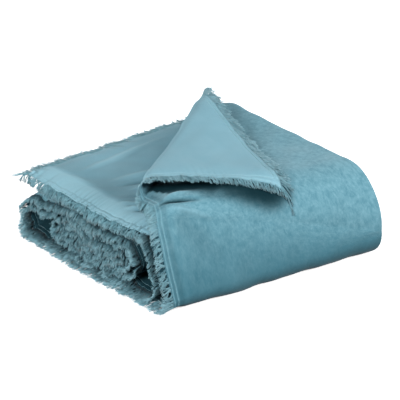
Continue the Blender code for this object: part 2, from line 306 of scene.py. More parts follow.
CORNERS: tuple[Corner, ...] = (
    # The outer end, on top
    Corner(Turn(0.450, 0.1450, 0.0), Turn(0.448, 0.1240, 0.0), Turn(0.450, 0.1070, 0.0)),
    # The outer layer: a sway over the top, down the front, under, and up the back
    Corner(Turn(0.250, 0.1350, 2.0), Turn(0.270, 0.1300, 0.8), Turn(0.250, 0.1060, 1.2)),
    Corner(Turn(0.01145, 0.1350, 0.090), Turn(0.075, 0.1600, 0.030), Turn(0.085, 0.1160, 0.015)),
    Corner(Turn(0.01145, 0.01145, 0.020), Turn(0.004, 0.00525, 0.014), Turn(0.036, 0.0190, 0.016)),
    Corner(Turn(0.442, 0.01145, 0.0430), Turn(0.444, 0.00525, 0.0330), Turn(0.432, 0.0175, 0.0205)),
    Corner(Turn(0.442, 0.0975, 0.0430), Turn(0.444, 0.0715, 0.0330), Turn(0.432, 0.0590, 0.0205)),
    # The next layer in: a sway, then the fold at the front
    Corner(Turn(0.300, 0.0982, 3.0), Turn(0.330, 0.0895, 0.2), Turn(0.325, 0.0775, 0.2)),
    Corner(Turn(0.045, 0.0975, 0.0287), Turn(0.105, 0.0895, 0.0297), Turn(0.118, 0.0775, 0.0178)),
    Corner(Turn(0.045, 0.0400, 0.0287), Turn(0.105, 0.0300, 0.0297), Turn(0.118, 0.0418, 0.0178)),
    # The innermost layer: the fold at the back, then the inner end
    Corner(Turn(0.370, 0.0400, 0.0144), Turn(0.355, 0.0300, 0.0177), Turn(0.342, 0.0418, 0.0060)),
    Corner(Turn(0.370, 0.0688, 0.0144), Turn(0.355, 0.0655, 0.0177), Turn(0.342, 0.0539, 0.0060)),
    Corner(Turn(0.110, 0.0688, 0.0), Turn(0.150, 0.0655, 0.0), Turn(0.148, 0.0539, 0.0)),
)


@dataclass
class Folding:
    """How the flat cloth lies in the bundle."""

    reach: float = 0.00525
    half_gap: float = 0.0062
    doubled_width: float = 0.414
    edge_wander: float = 0.003
    hem_pull: Swell = Swell(0.040, 0.180, 0.200)
    set_back: Swell = Swell(0.007, 0.750, 0.100)
    foot_push: Swell = Swell(0.010, 0.780, 0.160)
    blend_power: float = 1.2
    roll_from_end: float = 0.320
    roll_from_hem: float = 0.410
    roll_radius_hem: float = 0.012
    roll_radius_end: float = 0.022
    tip_rest: float = 0.0125
    tip_fall: float = 0.150
    tip_swing: float = 0.25
    sway_rise: float = 0.0026
    sway_depth: float = 0.16
    sway_floor: Ramp = Ramp(0.0, 0.030)
    sway_roof: Ramp = Ramp(0.104, -0.025)
    sway_front: Ramp = Ramp(0.08, 0.05)
    wave_rise: float = 0.0024
    wave_depth: float = 0.045
    wave_inside: Ramp = Ramp(0.52, 0.06)
    sag_fall: float = 0.0065
    sag_depth: float = 0.042
    floor_fade: float = 0.012
    ground_rest: float = 0.0003
    half_step: float = 0.0008
    centre_x: float = 0.0
    centre_y: float = 0.0
    profiles: dict[str, Profile] = field(init=False)
    width: float = field(init=False)
    length: float = field(init=False)

    def __post_init__(self) -> None:
        """Work out the profiles and the size of the flat cloth."""
        self.profiles = {
            side: Profile([getattr(corner, side) for corner in CORNERS]) for side in ("closed", "outer", "inner")
        }
        lengths = [
            0.5 * closed.length() + 0.25 * (outer.length() + inner.length())
            for closed, outer, inner in zip(*(profile.pieces for profile in self.profiles.values()))
        ]
        knots = np.concatenate(((0.0,), np.cumsum(lengths)))
        for profile in self.profiles.values():
            profile.knots = knots
        self.length = float(knots[-1])
        self.width = 2.0 * self.doubled_width + math.pi * self.half_gap

    def foot(self) -> float:
        """Position along the cloth of the middle of the front foot's bend."""
        steps = np.linspace(0.0, self.length / 2.0, 1200)
        return float(steps[np.argmin(self.profiles["closed"].at(steps).sum(axis=1))])

    def hem_length(self, hem: Hem) -> float:
        """Flat length of a hem."""
        return self.length if hem.is_long else self.width

    def beside(self, hem: Hem, run: Array, out: Array) -> Flat:
        """Flat positions beside a hem.

        Args:
            hem: The hem.
            run: Positions along it.
            out: Distances out past its edge, or in from it where they are negative.

        Returns:
            The positions, at the middle of the cloth.
        """
        if hem.is_long:
            return Flat(self.width + out if hem is Hem.LONG_OUTER else -out, run)
        return Flat(run, -out if hem is Hem.END_OUTER else self.length + out)

    def halves(self, flat: Flat) -> tuple[Array, Array]:
        """Whether each position is on the outer half, and its distance from the long hem."""
        outer = flat.across > self.width / 2.0
        return outer, np.where(outer, self.width - flat.across, flat.across)

    def rims(self, flat: Flat) -> tuple[Array, Array]:
        """Distances from the nearer long hem and from the nearer end hem."""
        across, along, _ = flat
        return np.minimum(across, self.width - across), np.minimum(along, self.length - along)

    def edge(self, flat: Flat) -> Array:
        """Distance from the nearest hem, 0 on it and past it."""
        return np.maximum(np.minimum(*self.rims(flat)), 0.0)

    def drift(self, outer: Array, along: Array) -> Array:
        """How far a long hem lies in from its straight line.

        Args:
            outer: Whether each position is on the outer half.
            along: Positions along the cloth.

        Returns:
            The distances: a slow wander, with the outer hem drawn in over the top,
            the inner hem standing back and both standing out on the ground.
        """
        phase = np.where(outer, 0.4, 2.3)
        wander = np.sin(along * 9.0 + phase) + 0.6 * np.sin(along * 23.0 + 2.0 * phase)
        drawn = np.where(outer, self.hem_pull.at(along), self.set_back.at(along))
        return self.edge_wander * wander + drawn - self.foot_push.at(along)

    def middle(self, flat: Flat) -> Array:
        """Middle surface of the folded cloth, before its corner is turned back.

        Args:
            flat: Positions in the cloth.

        Returns:
            One (x, y, z) row for each position.
        """
        outer, depth = self.halves(flat)
        turned = np.clip((flat.across - self.doubled_width) / self.half_gap, 0.0, math.pi)
        share = np.clip(depth / self.doubled_width, 0.0, 1.0)
        paths = {side: profile.at(flat.along) for side, profile in self.profiles.items()}
        normal = self.profiles["closed"].normal(flat.along)
        closed = paths["closed"] - normal * (self.half_gap * np.cos(turned))[:, None]
        hem = np.where(outer[:, None], paths["outer"], paths["inner"])
        yz = hem + (closed - hem) * (share**self.blend_power)[:, None]
        x = np.minimum(depth, self.doubled_width) + self.half_gap * np.sin(turned)
        return np.column_stack((x + self.drift(outer, flat.along) * (1.0 - share), yz))

    def skin(self, flat: Flat) -> Array:
        """Surface of the folded cloth at the positions' own heights.

        Args:
            flat: Positions in the cloth.

        Returns:
            One (x, y, z) row for each position.
        """
        across, along, lift = flat
        step = self.half_step
        over = self.middle(Flat(across + step, along)) - self.middle(Flat(across - step, along))
        down = self.middle(Flat(across, along + step)) - self.middle(Flat(across, along - step))
        normal = np.cross(over, down)
        normal /= np.linalg.norm(normal, axis=1)[:, None]
        return self.middle(flat) + normal * np.atleast_1d(lift)[:, None]

    def roll_frame(self, flat: Flat) -> tuple[Array, ...]:
        """Place of flat positions against the soft roll of the turned-back corner.

        Args:
            flat: Positions in the cloth.

        Returns:
            The position along the roll, the distance past it, its radius there, and
            the unit vectors along the roll and out towards the corner.
        """
        length = math.hypot(self.roll_from_hem, self.roll_from_end)
        run = np.array((self.roll_from_hem, -self.roll_from_end)) / length
        out = np.array((-self.roll_from_end, -self.roll_from_hem)) / length
        corner = np.stack((self.width - flat.across, flat.along - self.roll_from_end), axis=1)
        place = corner @ run
        share = np.clip(place / length, -0.1, 1.1)
        radius = self.roll_radius_hem + (self.roll_radius_end - self.roll_radius_hem) * share
        return place, corner @ out, radius, run, out

    def turn_back(self, flat: Flat) -> Flat:
        """Turn the corner of the outer half over its soft roll.

        Args:
            flat: Positions in the cloth.

        Returns:
            Where they come to lie, with their heights.
        """
        across, along, lift = flat
        place, away, radius, run, out = self.roll_frame(flat)
        angle = np.clip(away / radius, 0.0, math.pi)
        beyond = np.maximum(away - math.pi * radius, 0.0)
        top = 2.0 * radius + (self.tip_rest - 2.0 * radius) * ease(beyond / self.tip_fall)
        rolled_away = (radius - lift) * np.sin(angle) - beyond
        rolled_lift = np.where(beyond > 0.0, top - lift, radius - (radius - lift) * np.cos(angle))
        turned = (away > 0.0) & self.halves(flat)[0]
        moved = (place - self.tip_swing * beyond)[:, None] * run + rolled_away[:, None] * out
        return Flat(
            np.where(turned, self.width - moved[:, 0], across),
            np.where(turned, moved[:, 1] + self.roll_from_end, along),
            np.where(turned, rolled_lift, lift),
        )

    def roll_share(self, flat: Flat) -> Array:
        """How far round the roll flat positions lie, from 0 before it to 1 past it."""
        _, away, radius, _, _ = self.roll_frame(flat)
        return np.where(self.halves(flat)[0], np.clip(away / (math.pi * radius), 0.0, 1.0), 0.0)

    def wave(self, flat: Flat) -> Array:
        """Waves of the thin hems, fading away from them.

        Args:
            flat: Positions in the cloth.

        Returns:
            Their heights over the middle surface.
        """
        across, along, _ = flat
        outer, _ = self.halves(flat)
        phase = np.where(outer, 0.3, 3.9)
        ripple = np.sin(along * 113.0 + phase + np.sin(along * 31.0 + phase))
        ripple += 0.6 * np.sin(along * 211.0 + 2.3 * phase)
        end_ripple = np.sin(across * 97.0 + 0.7 + np.sin(across * 29.0))
        inside = self.wave_inside.at(along)
        rise = self.wave_rise * np.where(outer, 0.30 + 0.45 * inside, 0.45 + 0.55 * inside)
        side, end = (1.0 - np.clip(rim / self.wave_depth, 0.0, 1.0) for rim in self.rims(flat))
        return rise * ripple * side**2 + 0.4 * self.wave_rise * end_ripple * end**2

    def sag(self, flat: Flat) -> Array:
        """How far the thin hems sag under their own weight."""
        share = 1.0 - np.clip(self.edge(flat) / self.sag_depth, 0.0, 1.0)
        return self.sag_fall * share**2 * (1.0 - self.roll_share(flat)) * self.free(flat)

    def free(self, flat: Flat) -> Array:
        """How free of the ground the cloth is, from 0, lying on it, to 1."""
        middle = self.skin(self.turn_back(flat._replace(lift=0.0)))
        return ease((middle[:, 2] - self.reach) / self.floor_fade)

    def settle(self, points: Array) -> Array:
        """Let the inner layers sway at the hem end, centre the bundle and rest it on the ground.

        Args:
            points: Positions before the sway, from the front foot of the hem end.

        Returns:
            Positions in the row frame.
        """
        x, y, z = points.T
        near = np.clip(1.0 - x / self.sway_depth, 0.0, 1.2) ** 2
        level = self.sway_floor.at(z) * self.sway_roof.at(z)
        sway = np.sin(y * 46.0 + 0.9) + 0.5 * np.sin(y * 91.0 + 2.1)
        height = z + self.sway_rise * near * level * self.sway_front.at(y) * sway
        return np.column_stack((x - self.centre_x, y - self.centre_y, np.maximum(height, self.ground_rest)))

    def place(self, flat: Flat) -> Array:
        """Carry flat positions to the bundle.

        Args:
            flat: Positions in the cloth.

        Returns:
            One (x, y, z) row for each position, in the row frame.
        """
        points = self.skin(self.turn_back(flat._replace(lift=flat.lift + self.wave(flat))))
        points[:, 2] -= self.sag(flat)
        return self.settle(points)

    def seat(self, high: Vector) -> None:
        """Centre the bundle so that its velvet reaches as far as its solid does.

        Args:
            high: Highest corner of the velvet's solid.
        """
        steps = np.meshgrid(np.linspace(0.0, self.width, 161), np.linspace(0.0, self.length, 1601))
        velvet = self.skin(Flat(steps[0].ravel(), steps[1].ravel(), self.reach))
        self.centre_x = float(velvet[:, 0].max() - high.x)
        self.centre_y = float(velvet[:, 1].max() - high.y)


@dataclass(frozen=True)
class Relief:
    """How far each face stands from the middle of the cloth's thickness."""

    folding: Folding
    hem_steps: tuple[float, ...] = (0.0, 0.0004, 0.0015, 0.0080, 0.0110, 0.0150, 0.0220, 0.0310, 0.0420)
    hem_shares: tuple[float, ...] = (0.01, 0.14, 0.22, 0.26, 0.27, 0.42, 0.70, 0.92, 1.0)
    stitch_rows: tuple[float, ...] = (0.0030, 0.0100)
    stitch_depth: float = 0.0008
    stitch_width: float = 0.0009
    full: Ramp = Ramp(0.012, 0.030)
    pucker_rise: float = 0.0020
    pucker_start: Ramp = Ramp(0.0, 0.004)
    pucker_end: Ramp = Ramp(0.046, -0.046)
    uneven_rise: float = 0.0006
    least: float = 0.00005

    def puckers(self, face: Face, flat: Flat) -> Array:
        """Small gathers that the stitching draws up beside the hems.

        Args:
            face: The face that they lie on.
            flat: Positions in the cloth.

        Returns:
            Their heights.
        """
        side, end = self.folding.rims(flat)
        run = np.where(side < end, flat.along, flat.across)
        distance = np.minimum(side, end)
        cotton = face is Face.COTTON
        phase = np.where(self.folding.halves(flat)[0], 0.0, 1.7) + (0.9 if cotton else 2.6)
        comb = np.sin(run * 520.0 + phase + 1.4 * np.sin(run * 61.0)) + 0.7 * np.sin(run * 813.0 + 2.0 * phase)
        patch = 0.55 + 0.45 * np.sin(run * 37.0 + 3.0 * phase)
        swell = self.pucker_start.at(distance) * self.pucker_end.at(distance)
        strength = (1.0 if cotton else 0.25) * (1.0 - 0.75 * self.folding.roll_share(flat))
        return self.pucker_rise * strength * comb * patch * swell

    def uneven(self, face: Face, flat: Flat) -> Array:
        """Slow unevenness of the padding.

        Args:
            face: The face that it shows on.
            flat: Positions in the cloth.

        Returns:
            Its heights.
        """
        across, along, _ = flat
        turn = 0.6 if face is Face.COTTON else 2.2
        wave = np.sin(across * 61.0 + 2.0 * np.sin(along * 23.0) + turn)
        wave += np.sin(along * 74.0 + 1.7 * np.sin(across * 31.0) + 2.0 * turn)
        wave += 0.5 * np.sin(across * 133.0 - along * 117.0 + 3.0 * turn)
        return self.uneven_rise * wave

    def creases(self, face: Face, flat: Flat) -> tuple[Array, Array]:
        """The listed creases.

        Args:
            face: The face that they lie on.
            flat: Positions in the cloth.

        Returns:
            Their heights, and how sharp they are.
        """
        total, sharp = np.zeros(len(flat.across)), np.zeros(len(flat.across))
        outer, from_hem = self.folding.halves(flat)
        for crease in CREASES[face]:
            heading = math.radians(crease.heading)
            inward, down = from_hem - crease.from_hem, flat.along - crease.from_end
            run = inward * math.cos(heading) + down * math.sin(heading)
            off = down * math.cos(heading) - inward * math.sin(heading)
            taper = np.sin(math.pi * np.clip(run / crease.length, 0.0, 1.0) ** 0.7)
            narrow = crease.width * (0.45 + 0.55 * taper)
            here = (outer == (face is Face.VELVET)) & (run > 0.0) & (run < crease.length)
            height = np.where(here, crease.rise * taper * np.exp(-((off / narrow) ** 2)), 0.0)
            total += height
            sharp += height / crease.width
        return total, sharp

    def lift(self, face: Face, flat: Flat) -> Array:
        """Signed height of a face over the middle of the cloth.

        Args:
            face: The face.
            flat: Positions in the cloth.

        Returns:
            The heights, positive on the velvet side.
        """
        distance = self.folding.edge(flat)
        body = np.interp(distance, self.hem_steps, self.hem_shares) * self.folding.reach
        for row in self.stitch_rows:
            body -= Swell(self.stitch_depth, row, self.stitch_width).at(distance)
        body += self.puckers(face, flat)
        body += self.full.at(distance) * (self.uneven(face, flat) + self.creases(face, flat)[0])
        return face.value * np.maximum(body, self.least)


def grid_triangles(rows: int, columns: int, turned: bool = False) -> Array:
    """Triangles of a grid of points.

    Args:
        rows: Count of its rows.
        columns: Count of its columns.
        turned: Whether the triangles face the other way.

    Returns:
        One row of three places for each triangle.
    """
    index = np.arange(rows * columns).reshape(rows, columns)
    a, b = index[:-1, :-1].ravel(), index[1:, :-1].ravel()
    c, d = index[1:, 1:].ravel(), index[:-1, 1:].ravel()
    if turned:
        b, d = d, b
    return np.concatenate((np.stack((a, b, c), axis=1), np.stack((a, c, d), axis=1)))


@dataclass
class MeshStock:
    """Points and triangles of one piece, with its maps, before it becomes a mesh."""

    points: Array
    triangles: Array
    maps: dict[str, Array] = field(default_factory=dict)
    shades: dict[str, Array] = field(default_factory=dict)

    def make(self, name: str) -> Piece:
        """Make the smooth mesh object.

        Args:
            name: Name of the piece.

        Returns:
            The object, linked to the scene.
        """
        mesh = bpy.data.meshes.new(name)
        mesh.vertices.add(len(self.points))
        mesh.vertices.foreach_set("co", self.points.astype(np.float32).ravel())
        mesh.loops.add(self.triangles.size)
        mesh.loops.foreach_set("vertex_index", self.triangles.astype(np.int32).ravel())
        mesh.polygons.add(len(self.triangles))
        mesh.polygons.foreach_set("loop_start", np.arange(0, self.triangles.size, 3, dtype=np.int32))
        mesh.update(calc_edges=True)
        mesh.shade_smooth()
        for map_name, corners in self.maps.items():
            layer = mesh.uv_layers.new(name=map_name)
            layer.uv.foreach_set("vector", corners.astype(np.float32).ravel())
        for shade_name, values in self.shades.items():
            attribute = mesh.attributes.new(shade_name, "FLOAT", "POINT")
            attribute.data.foreach_set("value", values.astype(np.float32).ravel())
        piece = bpy.data.objects.new(name, mesh)
        bpy.context.scene.collection.objects.link(piece)
        return piece

    def declare(self, name: str, slot: str, node: str = "") -> Piece:
        """Args:
            name: Name of the piece.
            slot: Its material slot; not used.
            node: The node that it replaces, where it replaces one.

        Returns:
            The piece.
        """
        piece = self.make(name)
        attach(piece, "root")
        if node:
            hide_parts(node)
        LOG.info("%s: %d triangles", name, len(self.triangles))
        return piece


@dataclass
class Tubes:
    """Many thin tapered tubes of the same count of rings, joined in one stock."""

    paths: Array
    radii: Array
    shades: Array
    crowds: Array
    sides: int = 3
    cell_fill: float = 0.86
    upright: tuple[float, float, float] = (0.13, 0.29, 0.948)

    def one(self, rings: int) -> tuple[Array, Array]:
        """Triangles of one tube with its two caps.

        Args:
            rings: Count of its rings.

        Returns:
            The places of each triangle's corners, and their (side, ring) on the bake map.
        """
        ring, side = np.divmod(grid_triangles(rings, self.sides + 1, turned=True), self.sides + 1)
        end = rings - 1
        last = end * self.sides
        caps = ((2, 1, 0), (last, last + 1, last + 2))
        cap_corners = (((0, 0), (self.sides, 0), (1, 0.5)), ((0, end - 0.5), (self.sides, end), (1, end)))
        triangles = np.concatenate((ring * self.sides + side % self.sides, caps))
        return triangles, np.concatenate((np.stack((side, ring), axis=2), cap_corners))

    def stock(self) -> MeshStock:
        """Work out the points, triangles and bake map of the tubes.

        Returns:
            The stock, with the shade, tip and crowd of every point.
        """
        count, rings, _ = self.paths.shape
        tangent = unit(np.gradient(self.paths, axis=1))
        first = unit(np.cross(tangent, np.array(self.upright)))
        second = np.cross(tangent, first)
        angle = (np.arange(self.sides) * 2.0 * math.pi / self.sides)[None, None, :, None]
        ring = first[:, :, None, :] * np.cos(angle) + second[:, :, None, :] * np.sin(angle)
        points = self.paths[:, :, None, :] + ring * self.radii[:, :, None, None]
        triangles, corners = self.one(rings)
        each = rings * self.sides
        columns = max(int(math.sqrt(count * rings / self.sides)), 1)
        rows = math.ceil(count / columns)
        cell = corners / (self.sides, rings - 1) * self.cell_fill + (1.0 - self.cell_fill) / 2.0
        index = np.arange(count)
        origin = np.stack((index % columns, index // columns), axis=1).astype(float)
        bake = (origin[:, None, None, :] + cell[None]) / (columns, rows)
        tip = np.broadcast_to(np.linspace(0.0, 1.0, rings)[None, :, None], (count, rings, self.sides))
        return MeshStock(
            points.reshape(-1, 3),
            (triangles[None] + index[:, None, None] * each).reshape(-1, 3),
            {BAKE_MAP: bake.reshape(-1, 2)},
            {"shade": np.repeat(self.shades, each), "tip": tip, "crowd": np.repeat(self.crowds, each)},
        )


@dataclass
class Skin:
    """One face of the comforter, as a thin sheet on its folds."""

    folding: Folding
    relief: Relief
    face: Face
    ladder: tuple[float, ...] = (
        0.0, 0.0004, 0.0015, 0.0024, 0.0030, 0.0036, 0.0052, 0.0076, 0.0093, 0.0100, 0.0107,
        0.0125, 0.0150, 0.0180, 0.0215, 0.0255, 0.0300, 0.0350, 0.0420,
    )
    top_step: float = 0.0036
    wall_step: float = 0.0040
    wall_until: float = 0.56
    inside_step: float = 0.0080
    least_step: float = 0.0014
    outer_step: float = 0.0045
    fold_step: float = 0.0016
    inner_step: float = 0.0065
    bend_share: float = 0.24
    pucker_scale: float = 0.008
    fold_scale: float = 0.85
    # Painted shadow that the turned-back corner casts on the velvet beside its hem.
    cover_from: float = 0.030
    cover_reach: float = 0.012
    cover_spread: float = 2.3
    cover_height: float = 0.016
    cover_start: Ramp = Ramp(0.001, 0.006)
    cover_fade: float = 0.4
    # Painted shade among the folded layers.
    inside: Ramp = Ramp(0.38, 0.06)
    inside_back: Ramp = Ramp(1.06, 0.06)
    inside_fold: Ramp = Ramp(0.20, 0.10)
    inside_shade: float = 0.96
    # Painted highlight on the cotton's hem strip and painted shade in the dip beyond it, on the top panel.
    panel: Ramp = Ramp(0.34, -0.03)
    strip: Ramp = Ramp(0.042, -0.007)
    strip_highlight: float = 0.60
    dip_start: Ramp = Ramp(0.040, 0.005)
    dip_end: Ramp = Ramp(0.130, -0.080)
    dip_shade: float = 0.24
    # Painted shade over the velvet's hem band.
    band: Ramp = Ramp(0.024, -0.006)
    band_shade: float = 0.24
    # Painted highlight along the seam lines.
    seam_width: float = 0.0014
    seam_highlight: float = 0.8

    def spans(self, marks: list[float], steps: list[float]) -> Array:
        """Even stations between marks.

        Args:
            marks: Ends of the spans, in order.
            steps: Widest step within each span.

        Returns:
            The stations from the first mark to the last.
        """
        stations = [np.array((marks[0],))]
        for low, high, step in zip(marks, marks[1:], steps):
            count = max(1, math.ceil((high - low) / step))
            stations.append(np.linspace(low, high, count + 1)[1:])
        return np.concatenate(stations)

    def between_hems(self, middle: Array, size: float) -> Array:
        """Stations from hem to hem: the given ones, with a hem's fine ladder at both ends."""
        ladder = np.array(self.ladder)
        return np.concatenate((ladder[:-1], middle, size - ladder[-2::-1]))

    def along_stations(self) -> Array:
        """Stations down the length.

        Returns:
            The stations, closer together in the bends.
        """
        folding = self.folding
        marks, steps = [self.ladder[-1]], []
        for i, high in enumerate(folding.profiles["closed"].knots[1:].tolist()):
            bends = [profile.pieces[i] for profile in folding.profiles.values()]
            radius = min((bend.radius for bend in bends if isinstance(bend, Bend)), default=1.0)
            for cut in (folding.roll_from_end, self.wall_until, high):
                stop = min(cut, high, folding.length - self.ladder[-1])
                if stop <= marks[-1] + TINY:
                    continue
                base = self.inside_step
                if stop <= folding.roll_from_end + TINY:
                    base = self.top_step
                elif stop <= self.wall_until + TINY:
                    base = self.wall_step
                steps.append(max(self.least_step, min(base, radius * self.bend_share)))
                marks.append(stop)
        return self.between_hems(self.spans(marks, steps), folding.length)

    def across_stations(self) -> Array:
        """Stations over the width.

        Returns:
            The stations, closer together round the closed end.
        """
        width, fold, reach = self.folding.width, self.folding.doubled_width, self.ladder[-1]
        steps = [self.inner_step, self.fold_step, self.outer_step]
        return self.between_hems(self.spans([reach, fold, width - fold, width - reach], steps), width)

    def shadow_under_corner(self, flat: Flat, points: Array) -> Array:
        """Painted shadow of the turned-back corner on the cloth beside its long hem, by how closely the corner
        covers it.

        Args:
            flat: Positions in the cloth.
            points: The same positions in the row frame.

        Returns:
            One share for each position, 0 in the open.
        """
        folding = self.folding
        run = np.linspace(self.cover_from, folding.roll_from_end, 120)
        hem = folding.place(folding.beside(Hem.LONG_OUTER, run, np.zeros(run.size)))
        shade = np.zeros(len(points))
        rolled = folding.roll_share(flat)
        outside = (flat.along < folding.foot()) & folding.halves(flat)[0]
        near = np.flatnonzero((rolled < self.cover_fade) & outside)
        gap = np.linalg.norm(points[near][:, None] - hem[None], axis=2)
        closest = np.argmin(gap, axis=1)
        height = hem[closest, 2] - points[near, 2]
        cover = self.cover_reach + self.cover_spread * np.clip(height, 0.0, self.cover_height)
        reach = gap[np.arange(len(near)), closest]
        shade[near] = np.exp(-((reach / cover) ** 6)) * self.cover_start.at(height)
        return shade * ease(1.0 - rolled / self.cover_fade)

    def shade_among_layers(self, flat: Flat) -> Array:
        """Painted shade for how deep the cloth lies among the folded layers, near the frayed side.

        Args:
            flat: Positions in the cloth.

        Returns:
            One share for each position, 0 on the outside of the bundle.
        """
        outer_velvet = self.folding.halves(flat)[0] & (self.face is Face.VELVET)
        inside = np.where(outer_velvet, self.inside_back.at(flat.along), self.inside.at(flat.along))
        from_fold = np.abs(flat.across - self.folding.width / 2.0)
        return self.inside_shade * inside * self.inside_fold.at(from_fold)

    def marks(self, flat: Flat, points: Array) -> dict[str, Array]:
        """Painted shade and painted highlights that the finish puts into the cloth's colour.

        Args:
            flat: Positions in the cloth.
            points: The same positions in the row frame.

        Returns:
            Both as one share for each position.
        """
        # Painted shade in crease troughs and painted highlight on crease ridges and puckers, by how sharp they
        # are.
        folds = self.relief.creases(self.face, flat)[1]
        folds = (folds + self.relief.puckers(self.face, flat) / self.pucker_scale) / self.fold_scale
        painted_shade, painted_highlight = np.clip(-folds, 0.0, 1.0), np.clip(folds, 0.0, 1.0)
        # Painted highlight along the two seam lines.
        distance = self.folding.edge(flat)
        seam = sum(Swell(1.0, row, self.seam_width).at(distance) for row in self.relief.stitch_rows)
        seam = np.clip(seam, 0.0, 1.0)
        painted_highlight = np.maximum(painted_highlight, self.seam_highlight * seam)
        if self.face is Face.VELVET:
            # Painted shade over the velvet's hem band, except on the seam lines.
            band = self.band_shade * self.band.at(distance) * (1.0 - seam)
            painted_shade = np.maximum(np.maximum(painted_shade, self.shadow_under_corner(flat, points)), band)
        else:
            # Painted highlight on the cotton's hem strip, and painted shade in the dip beyond it.
            panel = self.panel.at(flat.along)
            dip = self.dip_start.at(flat.across) * self.dip_end.at(flat.across) * panel
            painted_highlight = np.maximum(painted_highlight, self.strip_highlight * (self.strip.at(flat.across) * panel))
            painted_shade = np.maximum(painted_shade, self.dip_shade * dip)
        # Painted shade deep among the layers, which also takes the painted highlight away there.
        inside = self.shade_among_layers(flat)
        return {"painted_shade": np.maximum(painted_shade, inside), "painted_highlight": painted_highlight * (1.0 - inside)}

    def build(self, name: str, node: str, slot: str) -> Piece:
        """Lay the sheet on its folds.

        Args:
            name: Name of the sheet.
            node: The node that it replaces.
            slot: Its material slot.

        Returns:
            The sheet, with a map of its flat place in metres and one for baking.
        """
        across, along = self.across_stations(), self.along_stations()
        flat = Flat(*(grid.ravel() for grid in np.meshgrid(across, along, indexing="ij")))
        points = self.folding.place(flat._replace(lift=self.relief.lift(self.face, flat)))
        triangles = grid_triangles(len(across), len(along), self.face is Face.COTTON)
        spots = np.stack((flat.across, flat.along), axis=1)[triangles.ravel()]
        maps = {BAKE_MAP: spots / (self.folding.width, self.folding.length), FLAT_MAP: spots}
        return MeshStock(points, triangles, maps, self.marks(flat, points)).declare(name, slot, node)


